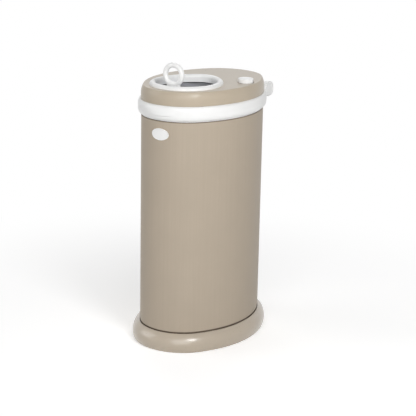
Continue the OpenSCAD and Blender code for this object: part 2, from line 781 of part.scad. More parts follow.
module lock_button() {
    z = lid_top + button_h;
    wall = 2;
    soft = 1.2;
    dish_r = button_r - 2.6;
    color(white) centred() translate([button_x, button_y, 0]) rotate_extrude() polygon(concat(
        [[0, stem_low], [stem_r - 0.5, stem_low], [stem_r, stem_low + 0.5], [stem_r, bolt_top], [neck_r, bolt_top],
         [neck_r, z - 3], [button_r - wall, z - 3], [button_r - wall, lid_top], [button_r, lid_top]],
        arc([button_r - soft, z - soft], soft, 0, 90, 5),
        [[dish_r, z], [dish_r * 0.8, z - 0.45], [dish_r * 0.5, z - 0.85], [0, z - 1.1]]));
}

module lock_bolt() {
    strip = 5;
    color(steel) centred() difference() {
        union() {
            translate([button_x, button_y, bolt_z]) cylinder(r = stem_r + 2.5, h = bolt_t);
            translate([button_x - strip / 2, tongue_y, bolt_z]) cube([strip, button_y - tongue_y, bolt_t]);
            translate([tongue_in, tongue_y, bolt_z]) cube([button_x - tongue_in, tongue_w, bolt_t]);
            translate([tongue_in, tongue_y, bolt_z]) cube([bolt_t, tongue_w, cap_under - 0.5 - bolt_z]);
        }
        translate([button_x, button_y, bolt_z - past]) cylinder(r = stem_r, h = bolt_t + 2 * past);
    }
}

module lock_clip() {
    t = 1.2;
    color(steel) centred() translate([button_x, button_y, bolt_z - t]) tube(stem_r + 2, stem_r, t);
}

module lock_guide() {
    top = bolt_z - lock_travel - 1.8;
    bore = stem_r + run_gap;
    color(white) centred() translate([button_x, button_y, 0]) rotate_extrude() polygon([
        [bore, band_top], [bore + 5.5, band_top], [bore + 5.5, band_top + 2], [bore + 2.5, band_top + 2.5],
        [bore + 2.5, top], [bore + 0.5, top], [bore, top - 0.5]]);
}

base_skirt();
base_feet();
base_screws();
bottom_pan();
shell();
badge_plate();
mouth_collar();
bag_ring();
hinge_bracket();
hinge_backplate();
hinge_rivets();
hinge_pin();
lid_frame();
lid_cap();
lid_screws();
opening_bezel();
mouth_chute();
door_seal();
lid_seal();
rail_left();
rail_right();
lock_guide();
hinge_caps();
door_plate();
ring_handle();
handle_screws();
runner_left();
runner_right();
lock_button();
lock_bolt();
lock_clip();
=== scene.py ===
"""Looks of an oval nappy bin: steel can, moulded base, hinged lid, sliding door, child lock.

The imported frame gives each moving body. The pieces here are modelled round it, in metres, with the
front at -Y and up at +Z. Profiles are lists of (distance outside the outline, height).
"""

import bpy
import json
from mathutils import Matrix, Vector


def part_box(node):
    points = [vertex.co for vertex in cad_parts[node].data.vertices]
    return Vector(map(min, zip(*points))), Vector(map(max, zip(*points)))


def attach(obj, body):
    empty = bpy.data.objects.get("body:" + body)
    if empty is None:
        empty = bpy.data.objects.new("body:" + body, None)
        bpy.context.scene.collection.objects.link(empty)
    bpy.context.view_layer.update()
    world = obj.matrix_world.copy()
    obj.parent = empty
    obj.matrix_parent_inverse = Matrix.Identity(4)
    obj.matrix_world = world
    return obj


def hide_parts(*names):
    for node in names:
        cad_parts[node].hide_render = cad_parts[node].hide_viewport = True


bl_info = {
    "name": "Oval Nappy Bin",
    "version": (1, 0, 0),
    "blender": (4, 5, 0),
    "location": "View3D > Sidebar > Nappy Bin",
    "description": "Builds the visible pieces and finishes of an oval nappy bin",
    "category": "Object",
}

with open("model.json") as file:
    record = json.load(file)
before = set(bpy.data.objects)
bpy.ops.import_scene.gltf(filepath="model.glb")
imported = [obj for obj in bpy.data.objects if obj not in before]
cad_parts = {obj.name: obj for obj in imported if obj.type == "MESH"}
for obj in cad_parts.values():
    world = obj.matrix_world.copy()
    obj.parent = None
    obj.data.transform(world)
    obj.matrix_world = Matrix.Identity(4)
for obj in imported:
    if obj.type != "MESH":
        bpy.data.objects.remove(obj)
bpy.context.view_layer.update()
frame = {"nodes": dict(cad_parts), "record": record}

import json
import math

import bmesh
import bpy
from bpy.props import FloatProperty, FloatVectorProperty, PointerProperty
from mathutils import Matrix, Vector

NODES = frame["nodes"]

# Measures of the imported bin, read from its nodes
SHIFT_Y = (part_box("shell")[0].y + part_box("shell")[1].y) / 2
BODY_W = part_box("shell")[1].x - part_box("shell")[0].x
BODY_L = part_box("shell")[1].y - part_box("shell")[0].y
BODY_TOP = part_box("shell")[1].z
LID_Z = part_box("lid_frame")[0].z
BAND_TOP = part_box("lid_cap")[0].z
LID_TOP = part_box("lid_cap")[1].z
PIN_Y = (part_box("hinge_pin")[0].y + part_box("hinge_pin")[1].y) / 2 - SHIFT_Y
PIN_Z = (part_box("hinge_pin")[0].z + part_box("hinge_pin")[1].z) / 2

MM = 0.001
JOIN = 0.004 * MM  # points of a new piece that lie closer than this become one
CAD_JOIN = 0.002 * MM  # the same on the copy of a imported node
LEVEL = 0.01 * MM  # how far a point may lie from a height and still count as on it
FLAT = 0.3  # facets that turn less than this, in degrees, become one face


# ---------------------------------------------------------------- outlines

def turn_of(x, y):
    return math.degrees(math.atan2(y, x))


class Outline:
    """Tangent arcs, each (centre, radius, turn in degrees, steps), from a first direction."""

    def __init__(self, first, arcs):
        self.first = math.radians(first)
        self.arcs = arcs

    def start(self, point):
        """Where a profile's point (distance outside, height) lies at the outline's start."""
        (cx, cy), radius = self.arcs[0][:2]
        reach = radius + point[0]
        return Vector((cx + reach * math.cos(self.first), cy + reach * math.sin(self.first), point[1]))

    def ring(self, grow, z):
        """Points of the outline grown by a distance, at one height."""
        points, angle = [], self.first
        for (cx, cy), radius, turn, steps in self.arcs:
            for i in range(steps):
                a = angle + math.radians(turn) * i / steps
                points.append(Vector((cx + (radius + grow) * math.cos(a), cy + (radius + grow) * math.sin(a), z)))
            angle += math.radians(turn)
        return points


# the oval has wide side arcs and tight end arcs, which meet on the directions 4 : 3
SIDE_C = BODY_L - BODY_W
SIDE_R = BODY_L - BODY_W / 2
END_C = 0.75 * SIDE_C
END_R = BODY_L / 2 - END_C
SIDE_TURN = 2 * turn_of(4, 3)


def oval(side_steps=20, end_steps=32):
    end = 180 - SIDE_TURN
    return Outline(-SIDE_TURN / 2, [
        ((-SIDE_C, 0), SIDE_R, SIDE_TURN, side_steps), ((0, END_C), END_R, end, end_steps),
        ((SIDE_C, 0), SIDE_R, SIDE_TURN, side_steps), ((0, -END_C), END_R, end, end_steps)])


def egg(sizes, side_steps=18, rear_steps=18, front_steps=48):
    """The opening's outline: a wide front and a narrow rear, joined by side arcs that end at 28 : 45."""
    taper = sizes.egg_front - sizes.egg_rear
    side = turn_of(28, 45)
    # the side arcs touch both ends where their centres stand off by this much of the taper
    x, rear_y = 1.12 * taper, sizes.egg_y + 1.8 * taper
    front_y = sizes.egg_y
    return Outline(0, [
        ((-x, front_y), sizes.egg_front + x, side, side_steps),
        ((0, rear_y), sizes.egg_rear, 180 - 2 * side, rear_steps),
        ((x, front_y), sizes.egg_front + x, side, side_steps), ((0, front_y), sizes.egg_front, 180, front_steps)])


def smooth(t):
    """0 below 0, 1 above 1, smooth between."""
    t = max(0.0, min(1.0, t))
    return t * t * (3 - 2 * t)


def arc(cx, cz, radius, start, end, steps):
    """Points of a profile's arc, in degrees."""
    span = [math.radians(start + (end - start) * i / steps) for i in range(steps + 1)]
    return [(cx + radius * math.cos(a), cz + radius * math.sin(a)) for a in span]


def circle_through(p, q, radius):
    """Centre of the circle through two points, on the left of the way from p to q."""
    p, q = Vector(p), Vector(q)
    middle, half = (p + q) / 2, (q - p).length / 2
    side = Vector((p.y - q.y, q.x - p.x)) / (2 * half)
    return middle + side * math.sqrt(radius ** 2 - half ** 2)


# ---------------------------------------------------------------- modelling steps

def pick_only(obj):
    bpy.ops.object.select_all(action='DESELECT')
    obj.select_set(True)
    bpy.context.view_layer.objects.active = obj


def edit(obj, select=True):
    pick_only(obj)
    bpy.ops.object.mode_set(mode='EDIT')
    bpy.ops.mesh.select_mode(type='VERT')
    bpy.ops.mesh.select_all(action='SELECT' if select else 'DESELECT')


def leave():
    bpy.ops.object.mode_set(mode='OBJECT')


def pick_points(obj, test):
    """Selects the points of the mesh in hand that pass a test on their place."""
    bpy.ops.mesh.select_all(action='DESELECT')
    mesh = bmesh.from_edit_mesh(obj.data)
    for v in mesh.verts:
        v.select = bool(test(v.co))
    mesh.select_flush(True)
    bmesh.update_edit_mesh(obj.data)


def pick_ends(obj, count):
    """Selects the first and last points of a line of points."""
    bpy.ops.mesh.select_all(action='DESELECT')
    mesh = bmesh.from_edit_mesh(obj.data)
    mesh.verts.ensure_lookup_table()
    for i in (0, count - 1):
        mesh.verts[i].select = True
    bmesh.update_edit_mesh(obj.data)


def line(name, points, closed=False):
    """A line of points, drawn from one point by extruding it; left in edit mode."""
    bpy.ops.object.select_all(action='DESELECT')
    bpy.ops.mesh.primitive_plane_add(size=MM, location=(0, 0, 0))
    obj = bpy.context.object
    obj.name = name
    obj.data.name = name
    edit(obj)
    bpy.ops.mesh.merge(type='CENTER')
    bpy.ops.transform.translate(value=points[0])
    for a, b in zip(points, points[1:]):
        bpy.ops.mesh.extrude_region_move(TRANSFORM_OT_translate={"value": b - a})
    if closed:
        pick_ends(obj, len(points))
        bpy.ops.mesh.edge_face_add()
    bpy.ops.mesh.select_all(action='SELECT')
    return obj


def clean(obj):
    """Merges doubles and turns the faces outwards, then goes back to object mode."""
    bpy.ops.mesh.select_all(action='SELECT')
    bpy.ops.mesh.remove_doubles(threshold=JOIN)
    bpy.ops.mesh.normals_make_consistent(inside=False)
    leave()
    return obj


def fill_at(obj, z, test):
    """Fills the open loop at one height with a face."""
    pick_points(obj, lambda co: abs(co.z - z) < LEVEL and test(co))
    bpy.ops.mesh.edge_face_add()


def swept(name, profile, outline, closed=True, fill=()):
    """Carries a profile round an outline by one spin for each arc; fill lists heights to close."""
    obj = line(name, [outline.start(p) for p in profile], closed)
    inner = min(p[0] for p in profile)
    for (cx, cy), radius, turn, steps in outline.arcs:
        bpy.ops.mesh.spin(steps=steps, angle=math.radians(turn), center=(cx, cy, 0), axis=(0, 0, -1))
    bpy.ops.mesh.select_all(action='SELECT')
    bpy.ops.mesh.remove_doubles(threshold=JOIN)
    rim = [Vector((p.x, p.y)) for p in outline.ring(inner, 0)]
    for z in fill:
        fill_at(obj, z, lambda co: min((Vector((co.x, co.y)) - p).length for p in rim) < 0.05 * MM)
    clean(obj)
    return move(obj, (0, SHIFT_Y, 0))


def turned(name, profile, centre, axis='Z', steps=64):
    """Spins a profile of (radius, height) once round an axis through a centre."""
    put = {'Z': lambda p: Vector((p[0], 0, p[1])), 'X': lambda p: Vector((p[1], 0, p[0])),
           'Y': lambda p: Vector((p[0], p[1], 0))}[axis]
    obj = line(name, [put(p) for p in profile], profile[0][0] > 0)
    bpy.ops.mesh.spin(steps=steps, angle=2 * math.pi, center=(0, 0, 0), axis=[-float(axis == a) for a in 'XYZ'])
    clean(obj)
    return move(obj, centre)


def slab(name, points, lift, rounding=0):
    """A flat face through points, pulled out by a vector, with its edges rounded."""
    obj = line(name, points)
    bpy.ops.mesh.edge_face_add()
    bpy.ops.mesh.select_all(action='SELECT')
    bpy.ops.mesh.extrude_region_move(TRANSFORM_OT_translate={"value": lift})
    clean(obj)
    if rounding:
        rounded(obj, rounding)
    return obj


def move(obj, by):
    obj.data.transform(Matrix.Translation(Vector(by)))
    return obj


def use(obj, kind, **settings):
    """Adds a modifier, sets it up and applies it."""
    pick_only(obj)
    mod = obj.modifiers.new(kind.title(), kind)
    for key, value in settings.items():
        setattr(mod, key, value)
    bpy.ops.object.modifier_apply(modifier=mod.name)
    return obj


def rounded(obj, width, segments=3, angle=30):
    return use(obj, 'BEVEL', width=width, segments=segments, limit_method='ANGLE', angle_limit=math.radians(angle))


def cut(obj, tool, operation='DIFFERENCE'):
    use(obj, 'BOOLEAN', object=tool, operation=operation, solver='EXACT')
    bpy.data.objects.remove(tool)
    return obj


def shade(obj, angle=32, weighted=True):
    pick_only(obj)
    bpy.ops.object.shade_smooth_by_angle(angle=math.radians(angle))
    if weighted:
        use(obj, 'WEIGHTED_NORMAL', keep_sharp=True, weight=80)
    return obj


def copy_of(node, name, rounding=0.0):
    """A CAD node's own shape with its doubles merged, flat facets joined and edges softened."""
    obj = NODES[node].copy()
    obj.data = NODES[node].data.copy()
    obj.name = obj.data.name = name
    obj.parent = None
    for key in list(obj.keys()):
        del obj[key]
    obj.data.materials.clear()
    bpy.context.scene.collection.objects.link(obj)
    edit(obj)
    bpy.ops.mesh.remove_doubles(threshold=CAD_JOIN)
    bpy.ops.mesh.customdata_custom_splitnormals_clear()
    bpy.ops.mesh.dissolve_limited(angle_limit=math.radians(FLAT))
    leave()
    if rounding:
        use(obj, 'BEVEL', width=rounding, segments=2, limit_method='ANGLE', angle_limit=math.radians(40),
            use_clamp_overlap=True)
    return shade(obj)


def finish_piece(obj, body, slot, *nodes):
    """Gives a piece its finish, hangs it on the empty of the body it rides on, and hides the nodes it stands for."""
    obj.data.materials.clear()
    obj.data.materials.append(finish(slot))
    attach(obj, body)
    if nodes:
        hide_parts(*nodes)
    return obj


# ---------------------------------------------------------------- finishes

class Val:
    """A socket whose value can be used in sums."""

    def __init__(self, finish, socket):
        self.finish, self.socket = finish, socket

    def _sum(self, operation, a, b):
        return self.finish.node('ShaderNodeMath', {'operation': operation}, a, b)

    def __add__(self, other): return self._sum('ADD', self, other)
    def __radd__(self, other): return self._sum('ADD', other, self)
    def __sub__(self, other): return self._sum('SUBTRACT', self, other)
    def __rsub__(self, other): return self._sum('SUBTRACT', other, self)
    def __mul__(self, other): return self._sum('MULTIPLY', self, other)
    def __rmul__(self, other): return self._sum('MULTIPLY', other, self)
    def __pow__(self, other): return self._sum('POWER', self, other)

    def step(self, low, high):
        """0 below low, 1 above high, smooth between."""
        return self.finish.node('ShaderNodeMapRange', {'interpolation_type': 'SMOOTHSTEP'},
                                self, low, high, 0.0, 1.0)


class Finish:
    """A material under construction."""

    def __init__(self, name):
        self.material = bpy.data.materials.new(name)
        self.material.use_nodes = True
        self.tree = self.material.node_tree
        self.shader = self.tree.nodes["Principled BSDF"]
        self.place = self.node('ShaderNodeTexCoord', {}, out='Object')

    def node(self, kind, settings, *values, out=0, **named):
        """Adds a node: its settings first, then the values or links of its sockets."""
        made = self.tree.nodes.new(kind)
        for key, value in settings.items():
            setattr(made, key, value)
        for key, value in list(enumerate(values)) + [(k.replace('_', ' '), v) for k, v in named.items()]:
            if isinstance(value, Val):
                self.tree.links.new(value.socket, made.inputs[key])
            else:
                made.inputs[key].default_value = value
        return Val(self, made.outputs[out])

    def noise(self, size, detail=2.0, stretch=None, rough=0.5):
        """Soft noise of a feature size in metres, about 0.5 in the middle."""
        where = self.place
        if stretch:
            where = self.node('ShaderNodeMapping', {}, where, (0, 0, 0), (0, 0, 0), stretch)
        return self.node('ShaderNodeTexNoise', {}, out='Fac', Vector=where, Scale=1 / size, Detail=detail,
                         Roughness=rough)

    def cells(self, size):
        return self.node('ShaderNodeTexVoronoi', {}, out='Distance', Vector=self.place, Scale=1 / size)

    def axis(self, name):
        return self.node('ShaderNodeSeparateXYZ', {}, self.place, out=name)

    def blend(self, amount, a, b):
        """Colour a where amount is 0, colour b where it is 1."""
        made = self.tree.nodes.new('ShaderNodeMix')
        made.data_type = 'RGBA'
        for socket, value in ((made.inputs[0], amount), (made.inputs[6], a), (made.inputs[7], b)):
            if isinstance(value, Val):
                self.tree.links.new(value.socket, socket)
            else:
                socket.default_value = value
        return Val(self, made.outputs[2])

    def set(self, **values):
        for key, value in values.items():
            socket = self.shader.inputs[key.replace('_', ' ')]
            if isinstance(value, Val):
                self.tree.links.new(value.socket, socket)
            else:
                socket.default_value = value

    def bump(self, height, distance, strength=1.0):
        self.set(Normal=self.node('ShaderNodeBump', {}, Strength=strength, Distance=distance, Height=height,
                                  out='Normal'))


def tint(colour, factor):
    return tuple(min(1.0, c * factor) for c in colour[:3]) + (1.0,)


def painted_steel(colours):
    """Powder coat on sheet steel: orange peel, faint clouding, dust low down, and painted shade above the base's lip
    and under the band's edge.
    """
    f = Finish("painted_steel")
    colour = colours.body
    cloud, peel, speck = f.noise(55 * MM, 3), f.noise(1.3 * MM, 2), f.noise(0.35 * MM, 1)
    dust = 1 - f.axis('Z').step(0.03, 0.11)
    # painted shade: a dark band in the paint where the groove above the base's lip lies in shadow
    seam_shade = 1 - f.axis('Z').step(33.9 * MM, 35.3 * MM)
    # painted shade: a dark band just under the lid band's edge, where its overhang shades the can
    rim = f.axis('Z').step(LID_Z - 4.5 * MM, LID_Z - 2 * MM)
    roller = f.noise(2.6 * MM, 2, stretch=(1, 1, 0.012))
    base = f.blend(cloud.step(0.3, 0.7), tint(colour, 0.985), tint(colour, 1.015))
    base = f.blend(speck.step(0.6, 0.75) * 0.35, base, tint(colour, 1.06))
    base = f.blend(roller.step(0.35, 0.65) * 0.5, base, tint(colour, 0.965))
    base = f.blend(dust * cloud * 0.18, base, tint(colour, 0.9))
    base = f.blend(seam_shade * 0.85 + rim * 0.8, base, tint(colours.shade, 1.0))
    f.set(Base_Color=base, Roughness=0.4 + cloud * 0.06 + speck * 0.05, Specular_IOR_Level=0.18)
    f.bump(peel + speck * 0.25, 0.012 * MM)
    return f.material


def moulded(name, colour, grain, rough, depth, coat=0.0, coat_rough=0.12, mirror=0.5):
    """Moulded plastic: a fine eroded grain, flow clouding and rubbed, shinier patches; sizes in mm."""
    f = Finish(name)
    cloud, flow = f.noise(40 * MM, 3), f.noise(14 * MM, 3, stretch=(1, 1, 0.35))
    pits, scuff = f.noise(grain * MM, 2), f.noise(3 * MM, 3, stretch=(0.16, 1, 1))
    base = f.blend(cloud.step(0.3, 0.7), tint(colour, 0.985), tint(colour, 1.01))
    base = f.blend(flow.step(0.55, 0.75) * 0.3, base, tint(colour, 0.975))
    f.set(Base_Color=base, Roughness=rough + pits * 0.1 - scuff.step(0.58, 0.8) * 0.08,
          Specular_IOR_Level=mirror)
    if coat:
        f.set(Coat_Weight=coat, Coat_Roughness=coat_rough)
    f.bump(pits + cloud * 0.2, depth * MM)
    return f.material


def polished_steel(colours):
    """Rolled and polished plate: soft waves, long bands of painted dark reflection, a faint grain, hazy smudges."""
    f = Finish("polished_steel")
    wave = f.noise(16 * MM, 0, stretch=(0.35, 1.2, 1))
    grain = f.noise(0.5 * MM, 2, stretch=(1, 0.03, 1))
    smudge = f.noise(17 * MM, 4).step(0.5, 0.75)
    dark_reflection = f.noise(15 * MM, 0, stretch=(0.16, 1, 1))
    base = f.blend(grain * 0.3 + smudge * 0.2, colours.steel, tint(colours.steel, 0.86))
    # painted reflection: long dark bands in the base colour stand in for dark surroundings mirrored in the plate
    base = f.blend(dark_reflection.step(0.36, 0.6) * 0.75, base, tint(colours.steel, 0.2))
    # the tint holds the plate dark where it is seen at a low angle
    f.set(Base_Color=base, Metallic=1.0, Roughness=0.1 + grain * 0.05 + smudge * 0.1,
          Specular_Tint=(0.58, 0.58, 0.6, 1))
    f.bump(wave + grain * 0.003, 0.9 * MM)
    return f.material


def worked_steel(name, colour, spangle, rough):
    """Plated or galvanised steel with brushed lines, and a spangle where it is galvanised."""
    f = Finish(name)
    brushed = f.noise(0.4 * MM, 3, stretch=(1, 0.08, 1))
    stain = f.noise(12 * MM, 4)
    base = f.blend(brushed * 0.4, colour, tint(colour, 0.78))
    if spangle:
        base = f.blend(f.cells(spangle * MM) * 0.8, base, tint(colour, 0.66))
    f.set(Base_Color=base, Metallic=0.9, Roughness=rough + stain * 0.16)
    f.bump(brushed, 0.006 * MM)
    return f.material


def rubbered(colours):
    """Soft rubber: dark, dull, with dust caught in its grain."""
    f = Finish("soft_rubber")
    grain, dust = f.noise(0.6 * MM, 3), f.noise(9 * MM, 4)
    base = f.blend(dust.step(0.5, 0.8) * 0.5, colours.rubber, tint(colours.rubber, 1.7))
    f.set(Base_Color=base, Roughness=0.72 + grain * 0.14)
    f.bump(grain, 0.02 * MM)
    return f.material


FINISHES = {}


def finish(name):
    """The named finish, made when it is first asked for."""
    if name not in FINISHES:
        c = bpy.context.scene.nappy_bin_colours
        FINISHES[name] = {
            "body_paint": lambda: painted_steel(c),
            "base_plastic": lambda: moulded("taupe_moulding", c.base, grain=0.45, rough=0.26, depth=0.005, coat=0.7,
                                            coat_rough=0.22),
            "lid_plastic": lambda: moulded("lid_moulding", c.lid, grain=0.4, rough=0.28, depth=0.006, coat=0.12,
                                           coat_rough=0.18, mirror=0.25),
            "white_plastic": lambda: moulded("white_moulding", c.white, grain=0.5, rough=0.28, depth=0.004, coat=0.15),
            "grey_plastic": lambda: moulded("grey_moulding", c.grey, grain=0.5, rough=0.45, depth=0.012),
            "polished_steel": lambda: polished_steel(c),
            "pan_steel": lambda: worked_steel("galvanised_steel", c.pan, spangle=9.0, rough=0.34),
            "fastener_steel": lambda: worked_steel("plated_steel", c.pan, spangle=0.0, rough=0.24),
            "rubber": lambda: rubbered(c),
        }[name]()
    return FINISHES[name]


# ---------------------------------------------------------------- sizes and colours

def length(name, description, default):
    return FloatProperty(name=name, description=description, default=default, unit='LENGTH', precision=4)


def colour(name, description, srgb):
    linear = [(c / 255 / 12.92 if c <= 10 else ((c / 255 + 0.055) / 1.055) ** 2.4) for c in srgb]
    return FloatVectorProperty(name=name, description=description, default=linear + [1.0], size=4,
                               subtype='COLOR', min=0, max=1)


class NappyBinSizes(bpy.types.PropertyGroup):
    lip_reach: length("Finger lip", "How far the finger lip stands out of the band", 2 * MM)
    lip_half: length("Finger lip half width", "Half the width of the finger lip", 30 * MM)
    band_r: length("Band bulge", "Radius of the white band's bulge", 18.9 * MM)
    cap_wall_r: length("Lid wall", "Radius of the lid cap's leaning wall", 26 * MM)
    cap_edge: length("Lid edge", "Rounding between the lid cap's wall and its flat top", 2 * MM)
    egg_front: length("Opening front", "Radius of the wide end of the opening's ring", 61 * MM)
    egg_rear: length("Opening rear", "Radius of the narrow end of the opening's ring", 37.5625 * MM)
    egg_y: length("Opening place", "Place of the opening's wide end", -58 * MM)
    ring_r: length("Ring handle", "Outer radius of the ring handle", 20.6 * MM)
    button_r: length("Lock button", "Radius of the lock button", 13.3 * MM)


class NappyBinColours(bpy.types.PropertyGroup):
    body: colour("Body", "Powder coat of the can", (181, 168, 151))
    base: colour("Base", "Colour of the base", (183, 170, 152))
    lid: colour("Lid cap", "Colour of the lid cap", (186, 173, 154))
    white: colour("White", "Colour of the white mouldings", (242, 242, 241))
    grey: colour("Grey", "Colour of the hidden grey mouldings", (140, 142, 145))
    steel: colour("Door", "Colour of the polished door", (146, 148, 153))
    # painted shade: the dark colour of the shadow bands above the base and under the lid band
    shade: colour("Painted shade", "Dark line where the can meets the band and the base", (74, 62, 52))
    pan: colour("Steel", "Colour of plated and galvanised steel", (196, 198, 200))
    rubber: colour("Rubber", "Colour of feet and seals", (62, 62, 65))
    floor: colour("Floor", "Colour of the studio floor", (247, 247, 247))


def sizes():
    return bpy.context.scene.nappy_bin_sizes


# ---------------------------------------------------------------- pieces

class BuildPiece:
    """What the operators of all pieces share."""
    bl_options = {'REGISTER', 'UNDO'}

    def execute(self, context):
        self.build(sizes())
        return {'FINISHED'}


class BIN_OT_body(BuildPiece, bpy.types.Operator):
    """Sheet steel can with its rolled top edge, and the steel pan that closes it"""
    bl_idname = "nappy_bin.body"
    bl_label = "Steel Body"

    def build(self, s):
        low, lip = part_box("shell")[0].z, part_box("base_skirt")[1].z
        hem, sheet = 2 * MM, 1 * MM
        # a shallow neck above the base's lip, then the wall in long steps up to the rolled edge
        neck, rows = 0.75 * MM, (0.12, 0.21, 0.3, 0.37)
        profile = [(-sheet, low), (-neck, low), (-neck, lip + 1.8 * MM), (-0.1 * MM, lip + 2.6 * MM),
                   (0, lip + 3.4 * MM)] + [(0, height) for height in rows]
        profile += arc(-hem, BODY_TOP - hem, hem, 0, 180, 10)
        profile += arc(-hem, BODY_TOP - hem, hem - sheet, 180, 0, 8)
        body = swept("body_shell", profile, oval(28, 40))
        finish_piece(shade(body), "root", "body_paint", "shell")
        pan = copy_of("bottom_pan", "steel_pan", 0.25 * MM)
        finish_piece(pan, "root", "pan_steel", "bottom_pan")


class BIN_OT_base(BuildPiece, bpy.types.Operator):
    """Moulded base: flared skirt, ribs and bosses under its floor, feet and screws"""
    bl_idname = "nappy_bin.base"
    bl_label = "Moulded Base"

    def build(self, s):
        base = copy_of("base_skirt", "base_moulding", 0.5 * MM)
        finish_piece(base, "root", "base_plastic", "base_skirt")
        feet = copy_of("base_feet", "rubber_feet", 0.4 * MM)
        finish_piece(feet, "root", "rubber", "base_feet")


class BIN_OT_plaque(BuildPiece, bpy.types.Operator):
    """Bare oval plaque on the front of the can, with a raised rim"""
    bl_idname = "nappy_bin.plaque"
    bl_label = "Oval Plaque"

    def build(self, s):
        plaque = copy_of("badge_plate", "oval_plaque", 0.22 * MM)
        finish_piece(plaque, "root", "white_plastic", "badge_plate")


class BIN_OT_mouth(BuildPiece, bpy.types.Operator):
    """Collar over the can's edge and the ring that traps the bag"""
    bl_idname = "nappy_bin.mouth"
    bl_label = "Mouth Collar"

    def build(self, s):
        collar = copy_of("mouth_collar", "collar", 0.35 * MM)
        finish_piece(collar, "root", "white_plastic", "mouth_collar")
        ring = copy_of("bag_ring", "bag_clamp_ring", 0.4 * MM)
        finish_piece(ring, "root", "grey_plastic", "bag_ring")


class BIN_OT_hinge(BuildPiece, bpy.types.Operator):
    """Hinge bracket on the body, its rivets, and the round caps of the lid's arms"""
    bl_idname = "nappy_bin.hinge"
    bl_label = "Hinge"

    def build(self, s):
        bracket = copy_of("hinge_bracket", "hinge_block", 0.6 * MM)
        finish_piece(bracket, "root", "white_plastic", "hinge_bracket")
        low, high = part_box("hinge_caps")
        radius, out = (high.z - low.z) / 2, high.x
        plug_r, plug, thick, edge = 6 * MM, 3.6 * MM, 2 * MM, 1 * MM
        face, rim = out - thick, radius - 3.4 * MM
        profile = [(0, face - plug), (plug_r, face - plug), (plug_r, face), (radius - 0.2 * MM, face)]
        profile += arc(radius - edge, out - edge, edge, 0, 90, 6)
        profile += [(rim, out), (rim - 0.3 * MM, out - 0.15 * MM), (rim - 0.7 * MM, out - 0.5 * MM),
                    (radius * 0.3, out - 0.45 * MM), (0, out - 0.4 * MM)]
        for side, name in ((1, "hinge_cap_right"), (-1, "hinge_cap_left")):
            cap = turned(name, [(r, side * x) for r, x in profile], (0, PIN_Y + SHIFT_Y, PIN_Z), 'X')
            finish_piece(shade(cap), "lid", "white_plastic", "hinge_caps")


